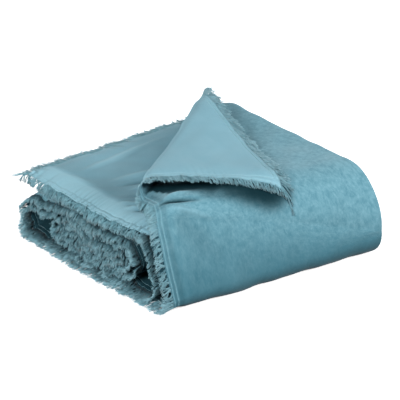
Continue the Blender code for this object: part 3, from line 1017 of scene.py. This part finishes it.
@dataclass
class Fringe:
    """A frayed fringe on one hem, in small tufts of fine strands."""

    folding: Folding
    hem: Hem
    seed: int
    strands: int = 7
    pitch: float = 0.0021
    length: float = 0.0185
    rings: int = 5
    root_depth: float = 0.0016
    root_radius: float = 0.00052
    tip_radius: float = 0.00036
    twist: float = 5.0
    yarn_radius: float = 0.00062
    corner_reach: float = 0.010
    corner_power: float = 1.3
    place_spread: float = 0.00035
    slant_spread: float = 0.07
    droop_spread: float = 0.06
    length_spread: float = 0.07
    curl_spread: float = 0.0009
    slant_wander: float = 0.06
    strand_slant: float = 0.03
    strand_droop: float = 0.04
    strand_lengths: tuple[float, float] = (0.86, 1.04)
    stray_share: float = 0.03
    stray_slant: float = 0.3
    stray_rise: float = 0.2
    corner_gap: float = 0.0004
    end_length: float = 1.22
    turned_stretch: float = 0.22
    turned_trim: float = 0.36
    bend_first: float = 0.20
    bend_more: float = 1.15
    bend_power: float = 0.7
    turned_slant: float = 0.38
    turned_from: Ramp = Ramp(0.0, 0.04)
    ground: Ramp = Ramp(0.036, -0.028)
    ground_stretch: float = 0.55
    ground_rest: float = 0.0006
    ground_rough: float = 0.0004
    inner_crowd: Ramp = Ramp(0.30, 0.10)
    outer_crowd: float = 0.10
    full_step: float = 0.002
    half_step: float = 0.003
    clearance: float = 0.0009

    def beside(self, run: Array, out: Array | None = None) -> Flat:
        """Flat positions along the hem, at distances out past its edge or on the edge itself."""
        return self.folding.beside(self.hem, run, np.zeros(len(run)) if out is None else out)

    def slant(self, run: Array) -> Array:
        """Slant along the hem, so that the tufts fan round its corners.

        Args:
            run: Positions along the hem.

        Returns:
            Sideways travel for each unit outwards.
        """
        ends = (self.folding.hem_length(self.hem) - run, run)
        last, first = (np.clip(1.0 - end / self.corner_reach, 0.0, 1.0) ** self.corner_power for end in ends)
        return last - first

    def grounded(self, run: Array) -> Array:
        """How near the ground a tuft of a long hem stands.

        Args:
            run: Positions along the hem.

        Returns:
            One share for each position, 1 on the ground.
        """
        if not self.hem.is_long:
            return np.zeros(len(run))
        return self.ground.at(self.folding.middle(self.beside(run))[:, 2])

    def crowding(self, run: Array) -> Array:
        """How deep a tuft stands among the folded layers.

        Args:
            run: Positions along the hem.

        Returns:
            One share for each position, 0 on the outside of the bundle.
        """
        if not self.hem.is_long:
            return np.zeros(len(run))
        if self.hem is Hem.LONG_INNER:
            return self.inner_crowd.at(run)
        return ease((run - self.folding.foot() - self.outer_crowd) / self.outer_crowd)

    def droop(self, run: Array) -> Array:
        """Share of its way that a tuft spends falling, from 0, straight out, to 1.

        Args:
            run: Positions along the hem.

        Returns:
            One share for each position.
        """
        hem = self.beside(run)
        turned = self.folding.roll_share(hem)
        if self.hem is Hem.END_OUTER:
            return 0.16 + 0.04 * turned
        if self.hem is Hem.END_INNER:
            return np.full(len(run), 0.30)
        before = self.folding.middle(hem._replace(along=run - self.half_step))
        after = self.folding.middle(hem._replace(along=run + self.half_step))
        steep = np.abs(unit(after - before)[:, 2])
        patches = 0.10 * np.sin(run * 57.0 + 1.0) + 0.08 * np.sin(run * 131.0)
        level = (0.62 - 0.50 * steep + patches) * (1.0 - 0.85 * self.grounded(run))
        flap = 0.20 + 0.16 * ease((self.folding.roll_from_end - run) / 0.30)
        return level + (flap - level) * turned

    def tufts(self) -> Tubes:
        """Comb the strands out from the hem.

        Returns:
            The strands as thin tubes.
        """
        rng = np.random.default_rng(self.seed)
        hem_length = self.folding.hem_length(self.hem)
        count = int(hem_length / self.pitch)
        centre = (np.arange(count) + 0.5) * self.pitch + rng.normal(0.0, self.place_spread, count)
        centre = np.clip(centre, self.corner_gap, hem_length - self.corner_gap)
        tuft_slant = self.slant(centre) + rng.normal(0.0, self.slant_spread, count)
        tuft_slant += self.slant_wander * np.sin(centre * 83.0)
        turned = self.folding.roll_share(self.beside(centre))
        if self.hem is Hem.LONG_OUTER:
            tuft_slant -= self.turned_slant * turned * self.turned_from.at(centre)
        tuft_droop = self.droop(centre) + rng.normal(0.0, self.droop_spread, count)
        tuft_length = self.length * (1.0 + rng.normal(0.0, self.length_spread, count))
        if self.hem is Hem.END_OUTER:
            tuft_length *= self.end_length + self.turned_stretch * turned
        else:
            tuft_length *= 1.0 - self.turned_trim * turned
        tuft_length *= 1.0 + self.ground_stretch * self.grounded(centre)
        tuft_shade = rng.uniform(0.0, 1.0, count)
        tuft_lift = rng.normal(0.0, self.place_spread, count)
        tuft = np.repeat(np.arange(count), self.strands)
        total = len(tuft)
        stray = rng.uniform(0.0, 1.0, total) < self.stray_share
        slant = tuft_slant[tuft] + rng.normal(0.0, self.strand_slant, total)
        slant += stray * rng.normal(0.0, self.stray_slant, total)
        droop = tuft_droop[tuft] + rng.normal(0.0, self.strand_droop, total) - stray * self.stray_rise
        length = tuft_length[tuft] * rng.uniform(*self.strand_lengths, total)
        share = self.ring_shares()
        out, fall = self.arcs(droop, length)
        member = np.tile(np.arange(self.strands), count)
        turn = (member * 2.0 * math.pi / self.strands)[:, None] + tuft_shade[tuft][:, None] * 6.0
        turn = turn + self.twist * share
        spread = self.yarn_radius * (1.0 + 1.1 * share**3) * rng.uniform(0.6, 1.15, total)[:, None]
        lift = tuft_lift[tuft][:, None]
        curl = rng.normal(0.0, self.curl_spread, count)[tuft][:, None] * np.sin(share * 5.5 + lift * 4000.0)
        run = centre[tuft][:, None] + spread * np.cos(turn) + slant[:, None] * (out + 0.55 * fall) + curl
        lift = lift + spread * np.sin(turn) + 0.6 * curl
        paths = self.laid(run, out - self.root_depth, lift, fall)
        radii = self.root_radius + (self.tip_radius - self.root_radius) * share**1.5
        radii = np.repeat(radii, total, axis=0) * rng.uniform(0.8, 1.15, total)[:, None]
        shades = np.clip(0.55 * tuft_shade[tuft] + 0.45 * rng.uniform(0.0, 1.0, total), 0.0, 1.0)
        return Tubes(paths, radii, shades, self.crowding(centre)[tuft])

    def ring_shares(self) -> Array:
        """Place of each ring along its strand, from 0 at the root to 1, as one row."""
        return np.linspace(0.0, 1.0, self.rings)[None]

    def arcs(self, droop: Array, length: Array) -> tuple[Array, Array]:
        """Way of each strand from its root, bending down more and more.

        Args:
            droop: Share of its way that each strand spends falling.
            length: Length of each strand.

        Returns:
            The distances out and the distances down, one row for each strand.
        """
        bend = self.bend_first + self.bend_more * self.ring_shares() ** self.bend_power
        heading = np.clip(droop, 0.0, 1.1)[:, None] * bend * (math.pi / 2.0)
        heading = np.clip(heading, 0.0, math.pi * 0.50)
        heading = 0.5 * (heading[:, 1:] + heading[:, :-1])
        step = 1.0 / (self.rings - 1)
        ways = (np.cumsum(part(heading), axis=1) * step * length[:, None] for part in (np.cos, np.sin))
        out, fall = (np.pad(way, ((0, 0), (1, 0))) for way in ways)
        return out, fall

    def laid(self, run: Array, out: Array, lift: Array, fall: Array) -> Array:
        """Carry strands to the bundle and let them fall.

        Args:
            run: Positions along the hem, one row for each strand.
            out: Distances out past the hem.
            lift: Heights over the middle of the cloth.
            fall: Distances that the strands fall.

        Returns:
            Paths of the strands in the row frame.
        """
        folding = self.folding
        flat = self.beside(run.ravel(), out.ravel())
        moved = folding.turn_back(flat._replace(lift=lift.ravel() + folding.wave(flat)))
        over = folding.roll_share(flat)
        drop = fall.ravel() * ease(np.maximum(out.ravel(), 0.0) / self.full_step)
        room = np.maximum(moved.lift - folding.reach - self.clearance, 0.0)
        sunk = np.where(over >= 1.0, np.minimum(drop, room), 0.0)
        points = folding.skin(moved._replace(lift=moved.lift - sunk))
        points[:, 2] -= folding.sag(flat)
        points[:, 2] -= drop * (1.0 - over)
        points = folding.settle(points)
        rest = self.ground_rest + self.ground_rough * np.abs(np.sin(run.ravel() * 900.0))
        points[:, 2] = np.maximum(points[:, 2], rest)
        return points.reshape((*run.shape, 3))

    def build(self) -> Piece:
        """Make the fringe as one piece."""
        name = f"fringe_{self.hem.value}"
        return self.tufts().stock().declare(f"{name}_strands", "fringe", name)


@dataclass
class Stitching:
    """Two rows of running stitches along the hems of one face."""

    folding: Folding
    relief: Relief
    face: Face
    pitch: float = 0.0026
    cover: float = 0.78
    radius: float = 0.00036
    end_share: float = 0.6
    arch: float = 0.00028
    arch_power: float = 1.6
    spread: float = 0.00006
    rings: int = 4
    seed: int = 11

    def row_paths(self, hem: Hem, row: float, rng: np.random.Generator) -> Array:
        """Paths of the stitches of one row.

        Args:
            hem: The hem that the row follows.
            row: Distance of the row from the hem.
            rng: Source of small differences.

        Returns:
            One path for each stitch.
        """
        room = self.folding.hem_length(hem) - 2.0 * row
        count = int(room / self.pitch)
        centre = row + (room - count * self.pitch) / 2.0 + (np.arange(count) + 0.5) * self.pitch
        share = np.linspace(-0.5, 0.5, self.rings)
        run = centre[:, None] + share[None] * self.pitch * self.cover
        depth = row + rng.normal(0.0, self.spread, count)[:, None] + np.zeros_like(run)
        flat = self.folding.beside(hem, run.ravel(), -depth.ravel())
        rise = self.arch * (1.0 - (2.0 * share) ** 2 * self.arch_power)
        lift = self.relief.lift(self.face, flat) + self.face.value * np.tile(rise, count)
        return self.folding.place(flat._replace(lift=lift)).reshape(count, self.rings, 3)

    def build(self) -> Piece:
        """Make the stitches of the face as one piece.

        Returns:
            The stitching.
        """
        rng = np.random.default_rng(self.seed)
        rows = [self.row_paths(hem, row, rng) for hem in Hem for row in self.relief.stitch_rows]
        paths = np.concatenate(rows)
        radii = np.full(paths.shape[:2], self.radius)
        radii[:, [0, -1]] *= self.end_share
        shades = rng.uniform(0.3, 0.7, len(paths))
        stock = Tubes(paths, radii, shades, np.zeros(len(shades))).stock()
        return stock.declare(f"stitching_{self.face.name.lower()}", "fringe")


@dataclass
class Bench:
    """Places and joins the nodes of one shader tree, from the shared groups too."""

    tree: bpy.types.NodeTree
    groups: "SharedGroups | None" = None

    def add(self, kind: str, inputs: dict[str | int, object] | None = None, **settings: object) -> bpy.types.Node:
        """Add a node.

        Args:
            kind: Type of the node, without its common first word.
            inputs: Value, or output to join, for each input by its name or place.
            **settings: Properties of the node.

        Returns:
            The node.
        """
        node = self.tree.nodes.new(kind if kind.startswith("NodeGroup") else f"ShaderNode{kind}")
        for setting, value in settings.items():
            setattr(node, setting, value)
        for key, value in (inputs or {}).items():
            if isinstance(value, Socket):
                self.tree.links.new(value, node.inputs[key])
            else:
                node.inputs[key].default_value = value
        return node

    def maths(self, operation: str, *values: Socket | float) -> Socket:
        """Output of a Math node on the given values."""
        return self.add("Math", dict(enumerate(values)), operation=operation).outputs[0]

    def times(self, first: Socket | float, second: Socket | float) -> Socket:
        """Product of two values."""
        return self.maths("MULTIPLY", first, second)

    def weighed(self, first: Socket, share: float, second: Socket, other: float) -> Socket:
        """Sum of two values, each times its share."""
        return self.maths("ADD", self.times(first, share), self.times(second, other))

    def blend(self, factor: Socket, first: Socket | Colour, second: Socket | Colour) -> Socket:
        """Colour mixed between two by a factor."""
        return self.add("Mix", {"Factor": factor, 6: first, 7: second}, data_type="RGBA").outputs[2]

    def mapped(
        self, value: Socket, low: Socket | float, high: Socket | float,
        first: float = 0.0, last: float = 1.0, kind: str = "LINEAR",
    ) -> Socket:
        """Value carried from the range of low to high to that of first to last."""
        inputs = {"Value": value, "From Min": low, "From Max": high, "To Min": first, "To Max": last}
        return self.add("MapRange", inputs, interpolation_type=kind).outputs["Result"]

    def attribute(self, name: str) -> Socket:
        """A point attribute of the piece, as a number."""
        return self.add("Attribute", attribute_name=name).outputs["Fac"]

    def flat_place(self) -> Socket:
        """Flat place on a sheet, in metres."""
        return self.add("UVMap", uv_map=FLAT_MAP).outputs["UV"]

    def cloud(self, vector: Socket, patch: float, raggedness: float, sharpness: float) -> Socket:
        """Mask of soft cloudy patches of a size in metres, with so ragged and so sharp an edge."""
        inputs = {"Vector": vector, "Patch": patch, "Raggedness": raggedness, "Sharpness": sharpness}
        return self.add("Group", inputs, node_tree=self.groups.clouding).outputs["Mask"]

    def bump(self, height: Socket, strength: float, distance: float) -> Socket:
        """Normal of a fine relief of the given height."""
        inputs = {"Height": height, "Strength": strength, "Distance": distance}
        return self.add("Bump", inputs).outputs["Normal"]

    def surface(self, look: dict[str, object]) -> Socket:
        """Surface of a Principled shader with the given inputs."""
        return self.add("BsdfPrincipled", look).outputs["BSDF"]


class SharedGroups:
    """Shader groups that more than one finish uses, each built once."""

    def __init__(self) -> None:
        """Build the groups."""
        self.clouding = self.build_clouding()
        self.weave = self.build_weave()

    def open_group(self, name: str, inputs: dict[str, float | None]) -> tuple[Bench, bpy.types.Node]:
        """Start a group with named inputs.

        Args:
            name: Name of the group.
            inputs: Default of each number input, or None for a vector.

        Returns:
            The bench of the group, and the node that gives its inputs.
        """
        tree = bpy.data.node_groups.new(name, "ShaderNodeTree")
        for label, default in inputs.items():
            kind = "NodeSocketVector" if default is None else "NodeSocketFloat"
            socket = tree.interface.new_socket(name=label, in_out="INPUT", socket_type=kind)
            if default is not None:
                socket.default_value = default
        bench = Bench(tree)
        return bench, bench.add("NodeGroupInput")

    def close_group(self, bench: Bench, outputs: dict[str, Socket]) -> bpy.types.NodeTree:
        """Finish a group with named number outputs.

        Args:
            bench: The bench of the group.
            outputs: What each output gives.

        Returns:
            The group.
        """
        for label in outputs:
            bench.tree.interface.new_socket(name=label, in_out="OUTPUT", socket_type="NodeSocketFloat")
        bench.add("NodeGroupOutput", outputs)
        return bench.tree

    def build_clouding(self) -> bpy.types.NodeTree:
        """Group that makes soft cloudy patches with a ragged edge.

        Returns:
            The group, with a mask from 0 to 1.
        """
        defaults = {"Vector": None, "Patch": 0.03, "Raggedness": 0.55, "Sharpness": 0.3}
        bench, entry = self.open_group("cloth_clouding", defaults)
        at = entry.outputs
        scale = bench.maths("DIVIDE", 1.0, at["Patch"])
        look = {"Vector": at["Vector"], "Scale": scale, "Detail": 6.0, "Roughness": at["Raggedness"]}
        noise = bench.add("TexNoise", {**look, "Distortion": 0.35}).outputs["Fac"]
        half = bench.times(bench.maths("SUBTRACT", 1.0, at["Sharpness"]), 0.28)
        low, high = bench.maths("SUBTRACT", 0.5, half), bench.maths("ADD", 0.5, half)
        return self.close_group(bench, {"Mask": bench.mapped(noise, low, high)})

    def build_weave(self) -> bpy.types.NodeTree:
        """Group that makes a plain weave from flat positions in metres.

        Returns:
            The group, with the height of the threads and a mask of the gaps.
        """
        bench, entry = self.open_group("plain_weave", {"Vector": None, "Pitch": 0.0006})
        split = bench.add("SeparateXYZ", {"Vector": entry.outputs["Vector"]}).outputs
        turn = bench.maths("DIVIDE", math.pi, entry.outputs["Pitch"])
        warp, weft = (bench.maths("SINE", bench.times(split[axis], turn)) for axis in ("X", "Y"))
        over = bench.times(warp, weft)
        crown = bench.maths("ABSOLUTE", over)
        gaps = bench.maths("LESS_THAN", crown, 0.12)
        return self.close_group(bench, {"Height": bench.weighed(over, 0.25, crown, 0.75), "Gaps": gaps})


@dataclass(frozen=True)
class Finish:
    """A finish with its own material."""

    name: str

    def make(self, groups: SharedGroups) -> bpy.types.Material:
        """Make the material.

        Args:
            groups: The shared shader groups.

        Returns:
            The material.
        """
        material = bpy.data.materials.new(self.name)
        material.use_nodes = True
        material.node_tree.nodes.clear()
        bench = Bench(material.node_tree, groups)
        bench.add("OutputMaterial", {"Surface": self.paint(bench)})
        return material

    def paint(self, bench: Bench) -> Socket:
        """Surface of the material, laid out on its bench."""
        raise NotImplementedError

    def dress(self, pieces: list[Piece], groups: SharedGroups) -> None:
        """Make the material and put it on pieces.

        Args:
            pieces: The pieces.
            groups: The shared shader groups.
        """
        material = self.make(groups)
        for piece in pieces:
            piece.data.materials.clear()
            piece.data.materials.append(material)


@dataclass(frozen=True)
class VelvetFinish(Finish):
    """Washed velvet: a short nap that catches the light in cloudy patches, with painted shade towards the front
    foot, in hollows and under the turned-back corner, and painted highlights on crests and seams.
    """

    name: str = "washed_velvet"
    deep: Colour = (0.085, 0.245, 0.315, 1.0)
    body: Colour = (0.150, 0.350, 0.430, 1.0)
    bright: Colour = (0.260, 0.490, 0.580, 1.0)
    painted_foot_shade: Colour = (0.030, 0.130, 0.175, 1.0)
    shaded: Colour = (0.002, 0.016, 0.022, 1.0)
    tint: Colour = (0.72, 0.88, 0.95, 1.0)
    sheen: float = 0.20
    # Painted shade towards the front foot.
    foot: float = 0.60
    foot_shade_rise: float = 0.090
    foot_shade_share: float = 0.85

    def paint(self, bench: Bench) -> Socket:
        """Surface of the velvet.

        Args:
            bench: The bench of the material.

        Returns:
            The output of its shader.
        """
        place = bench.flat_place()
        broad = bench.cloud(place, 0.034, 0.55, 0.35)
        marks = bench.cloud(place, 0.009, 0.72, 0.45)
        specks = bench.cloud(place, 0.0035, 0.6, 0.2)
        washed = bench.weighed(broad, 0.38, marks, 0.62)
        ground = bench.blend(washed, self.deep, self.body)
        napped = bench.blend(bench.times(bench.times(marks, specks), 0.55), ground, self.bright)
        # Painted shade: the colour darkens towards the front foot, where the cloth turns under.
        down = bench.add("SeparateXYZ", {"Vector": place}).outputs["Y"]
        from_foot = bench.maths("ABSOLUTE", bench.maths("SUBTRACT", down, self.foot))
        painted_foot_shade = bench.mapped(from_foot, self.foot_shade_rise, 0.0, 0.0, self.foot_shade_share, "SMOOTHSTEP")
        turned = bench.blend(painted_foot_shade, napped, self.painted_foot_shade)
        # Painted shade darkens the colour and dims the sheen and gloss; painted highlight brightens it.
        painted_shade = bench.attribute("painted_shade")
        highlighted_colour = bench.blend(bench.times(bench.attribute("painted_highlight"), 0.45), turned, self.bright)
        nap = bench.add("TexNoise", {"Vector": place, "Scale": 1500.0, "Detail": 2.0, "Roughness": 0.6})
        height = bench.weighed(nap.outputs["Fac"], 0.5, specks, 0.5)
        free_of_painted_shade = bench.maths("SUBTRACT", 1.0, painted_shade)
        look = {
            "Base Color": bench.blend(bench.times(painted_shade, 0.96), highlighted_colour, self.shaded),
            "Roughness": bench.mapped(washed, 0.0, 1.0, 0.92, 0.74),
            "Normal": bench.bump(height, 0.35, 0.0006),
            "Specular IOR Level": bench.times(free_of_painted_shade, 0.25),
            "Sheen Weight": bench.times(free_of_painted_shade, self.sheen),
            "Sheen Roughness": 0.45,
            "Sheen Tint": self.tint,
        }
        return bench.surface(look)


@dataclass(frozen=True)
class CottonFinish(Finish):
    """Plain fine cotton: a matt even weave, with painted shade and painted highlights at its creases, hem strip
    and folds.
    """

    name: str = "plain_cotton"
    body: Colour = (0.205, 0.425, 0.520, 1.0)
    faded: Colour = (0.262, 0.495, 0.590, 1.0)
    gap: Colour = (0.130, 0.320, 0.410, 1.0)
    # Colour of the painted highlight.
    painted_highlight_colour: Colour = (0.360, 0.620, 0.710, 1.0)
    shaded: Colour = (0.010, 0.060, 0.085, 1.0)

    def paint(self, bench: Bench) -> Socket:
        """Surface of the cotton.

        Args:
            bench: The bench of the material.

        Returns:
            The output of its shader.
        """
        place = bench.flat_place()
        slubs = bench.add("Mapping", {"Vector": place, "Scale": (1.0, 0.12, 1.0)}).outputs["Vector"]
        broad = bench.cloud(place, 0.060, 0.55, 0.1)
        streak = bench.cloud(slubs, 0.0016, 0.5, 0.2)
        weave = bench.add("Group", {"Vector": place, "Pitch": 0.0007}, node_tree=bench.groups.weave).outputs
        tone = bench.weighed(broad, 0.6, streak, 0.4)
        cloth = bench.blend(tone, self.body, self.faded)
        woven = bench.blend(bench.times(weave["Gaps"], 0.5), cloth, self.gap)
        # Painted highlight on crests and the hem strip, then painted shade in hollows and among the layers.
        highlighted_colour = bench.blend(bench.times(bench.attribute("painted_highlight"), 0.75), woven, self.painted_highlight_colour)
        look = {
            "Base Color": bench.blend(bench.attribute("painted_shade"), highlighted_colour, self.shaded),
            "Roughness": bench.mapped(tone, 0.0, 1.0, 0.86, 0.76),
            "Normal": bench.bump(weave["Height"], 0.3, 0.00025),
            "Specular IOR Level": 0.3,
            "Sheen Weight": 0.05,
            "Sheen Roughness": 0.5,
        }
        return bench.surface(look)


@dataclass(frozen=True)
class YarnFinish(Finish):
    """Cotton yarn: every strand a little lighter or darker, paler at its tip, with painted shade at the roots of
    strands deep among the layers.
    """

    name: str = "fringe_yarn"
    deep: Colour = (0.060, 0.210, 0.268, 1.0)
    body: Colour = (0.200, 0.430, 0.510, 1.0)
    pale: Colour = (0.430, 0.680, 0.755, 1.0)
    shaded: Colour = (0.006, 0.040, 0.055, 1.0)
    ply: float = 0.0011

    def paint(self, bench: Bench) -> Socket:
        """Surface of the yarn.

        Args:
            bench: The bench of the material.

        Returns:
            The output of its shader.
        """
        place = bench.add("TexCoord").outputs["Object"]
        shade, tip, crowd = (bench.attribute(name) for name in ("shade", "tip", "crowd"))
        dust = bench.cloud(place, 0.012, 0.6, 0.2)
        fibre = bench.cloud(place, self.ply, 0.5, 0.3)
        tone = bench.weighed(shade, 0.65, dust, 0.35)
        strand = bench.blend(tone, self.deep, self.body)
        lightness = bench.times(bench.maths("ADD", bench.times(tip, 0.6), 0.15), tone)
        lit = bench.blend(lightness, strand, self.pale)
        # Painted shade at the roots of strands that stand deep among the folded layers.
        painted_root_shade = bench.times(bench.mapped(tip, 0.2, 0.9, 0.96, 0.0), crowd)
        look = {
            "Base Color": bench.blend(painted_root_shade, lit, self.shaded),
            "Roughness": bench.mapped(shade, 0.0, 1.0, 0.92, 0.78),
            "Normal": bench.bump(fibre, 0.4, 0.0003),
            "Specular IOR Level": 0.25,
            "Sheen Weight": 0.25,
            "Sheen Roughness": 0.5,
        }
        return bench.surface(look)


@dataclass(frozen=True)
class FloorFinish(Finish):
    """Plain pale studio floor, which glows a little where it is seen and is dull under the cloth."""

    name: str = "pale_floor"
    light: Colour = (0.95, 0.95, 0.95, 1.0)
    shade: Colour = (0.92, 0.92, 0.92, 1.0)
    under: Colour = (0.07, 0.07, 0.07, 1.0)
    white: Colour = (1.0, 1.0, 1.0, 1.0)
    glow: float = 0.70

    def paint(self, bench: Bench) -> Socket:
        """Surface of the floor.

        Args:
            bench: The bench of the material.

        Returns:
            The output of its shader.
        """
        place = bench.add("TexCoord").outputs["Object"]
        cloud = bench.cloud(place, 0.8, 0.4, 0.0)
        look = {
            "Base Color": bench.blend(cloud, self.light, self.shade),
            "Roughness": 0.85,
            "Specular IOR Level": 0.2,
            "Emission Color": self.white,
            "Emission Strength": self.glow,
        }
        pale, dull = bench.surface(look), bench.surface({"Base Color": self.under, "Roughness": 0.95})
        seen = bench.add("LightPath").outputs["Is Camera Ray"]
        return bench.add("MixShader", {0: seen, 1: dull, 2: pale}).outputs["Shader"]


@dataclass
class Comforter:
    """The whole comforter: two faces, four fringes and the hem stitching."""

    folding: Folding
    groups: SharedGroups

    def build(self) -> list[Piece]:
        """Returns:
            The pieces.
        """
        folding, relief = self.folding, Relief(self.folding)
        velvet = Skin(folding, relief, Face.VELVET).build("velvet_skin", "velvet_face", "velvet")
        cotton = Skin(folding, relief, Face.COTTON).build("cotton_skin", "cotton_back", "cotton")
        fringes = [
            Fringe(folding, Hem.LONG_OUTER, seed=3).build(),
            Fringe(folding, Hem.LONG_INNER, seed=5).build(),
            Fringe(folding, Hem.END_OUTER, seed=7).build(),
            Fringe(folding, Hem.END_INNER, seed=9, strands=4).build(),
        ]
        seams = [Stitching(folding, relief, face).build() for face in Face]
        VelvetFinish(foot=folding.foot()).dress([velvet], self.groups)
        CottonFinish().dress([cotton], self.groups)
        YarnFinish().dress([*fringes, *seams], self.groups)
        return [velvet, cotton, *fringes, *seams]


@dataclass(frozen=True)
class Lamp:
    """A soft square lamp: where it hangs, its side in metres and its power in watts."""

    name: str
    place: tuple[float, float, float]
    size: float
    power: float


@dataclass
class Studio:
    """Pale floor, soft lights and the camera."""

    groups: SharedGroups
    floor_half: float = 6.0
    floor_lines: int = 9
    turn: float = math.radians(35.7)
    height: float = math.radians(21.5)
    distance: float = 4.0
    aim: Vector = field(default_factory=lambda: Vector((0.0, 0.0, 0.08)))
    sensor: float = 36.0
    lens: float = 212.4
    shift: tuple[float, float] = (0.0180, -0.0070)
    farthest: float = 50.0
    surround: float = 0.03
    surround_tint: Colour = (0.96, 0.98, 1.0, 1.0)
    lamps: tuple[Lamp, ...] = (
        Lamp("key", (1.8, -2.4, 1.4), 1.0, 96.0),
        Lamp("left", (-2.4, -0.8, 1.1), 1.0, 72.0),
        Lamp("right", (2.4, 0.4, 1.4), 1.0, 28.0),
        Lamp("back", (-0.5, 2.8, 0.7), 1.2, 34.0),
    )

    def lay_floor(self) -> None:
        """Lay the floor."""
        lines = self.floor_lines
        steps = np.linspace(-self.floor_half, self.floor_half, lines)
        x, y = (grid.ravel() for grid in np.meshgrid(steps, steps, indexing="ij"))
        points = np.stack((x, y, np.zeros(x.size)), axis=1)
        floor = MeshStock(points, grid_triangles(lines, lines)).make("floor")
        FloorFinish().dress([floor], self.groups)

    def hang(self, data: bpy.types.ID, place: Vector) -> bpy.types.Object:
        """Put a light or a camera in place, turned to the bundle.

        Args:
            data: The light or the camera.
            place: Where it hangs.

        Returns:
            Its object.
        """
        item = bpy.data.objects.new(data.name, data)
        item.location = place
        item.rotation_euler = (self.aim - place).to_track_quat("-Z", "Y").to_euler()
        bpy.context.scene.collection.objects.link(item)
        return item

    def hang_light(self, lamp: Lamp) -> None:
        """Hang one soft lamp.

        Args:
            lamp: The lamp.
        """
        data = bpy.data.lights.new(lamp.name, "AREA")
        data.shape = "SQUARE"
        data.size = lamp.size
        data.energy = lamp.power
        self.hang(data, Vector(lamp.place))

    def set_camera(self) -> None:
        """Set the camera that looks at the open corner of the bundle."""
        data = bpy.data.cameras.new("camera")
        data.sensor_width = self.sensor
        data.lens = self.lens
        data.shift_x, data.shift_y = self.shift
        data.clip_end = self.farthest
        level = math.cos(self.height)
        away = Vector((-math.sin(self.turn) * level, -math.cos(self.turn) * level, math.sin(self.height)))
        bpy.context.scene.camera = self.hang(data, self.aim + away * self.distance)

    def build(self) -> None:
        """Set up the floor, surroundings, lights and camera."""
        self.lay_floor()
        world = bpy.data.worlds.new("studio")
        world.use_nodes = True
        backdrop = world.node_tree.nodes["Background"]
        backdrop.inputs["Color"].default_value = self.surround_tint
        backdrop.inputs["Strength"].default_value = self.surround
        bpy.context.scene.world = world
        bpy.context.scene.view_settings.view_transform = "Standard"
        for lamp in self.lamps:
            self.hang_light(lamp)
        self.set_camera()
        LOG.info("studio: floor, %d lamps and camera", len(self.lamps))


def main() -> None:
    """Load the frame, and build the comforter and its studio."""
    logging.basicConfig(level=logging.INFO, format="%(name)s %(message)s")
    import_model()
    groups = SharedGroups()
    folding = Folding()
    folding.seat(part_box("velvet_face")[1])
    LOG.info("centre: %.5f, %.5f; foot: %.4f", folding.centre_x, folding.centre_y, folding.foot())
    LOG.info("flat: %.4f x %.4f", folding.width, folding.length)
    pieces = Comforter(folding, groups).build()
    Studio(groups).build()
    LOG.info("pieces: %s", ", ".join(piece.name for piece in pieces))


if __name__ == "__main__":
    main()
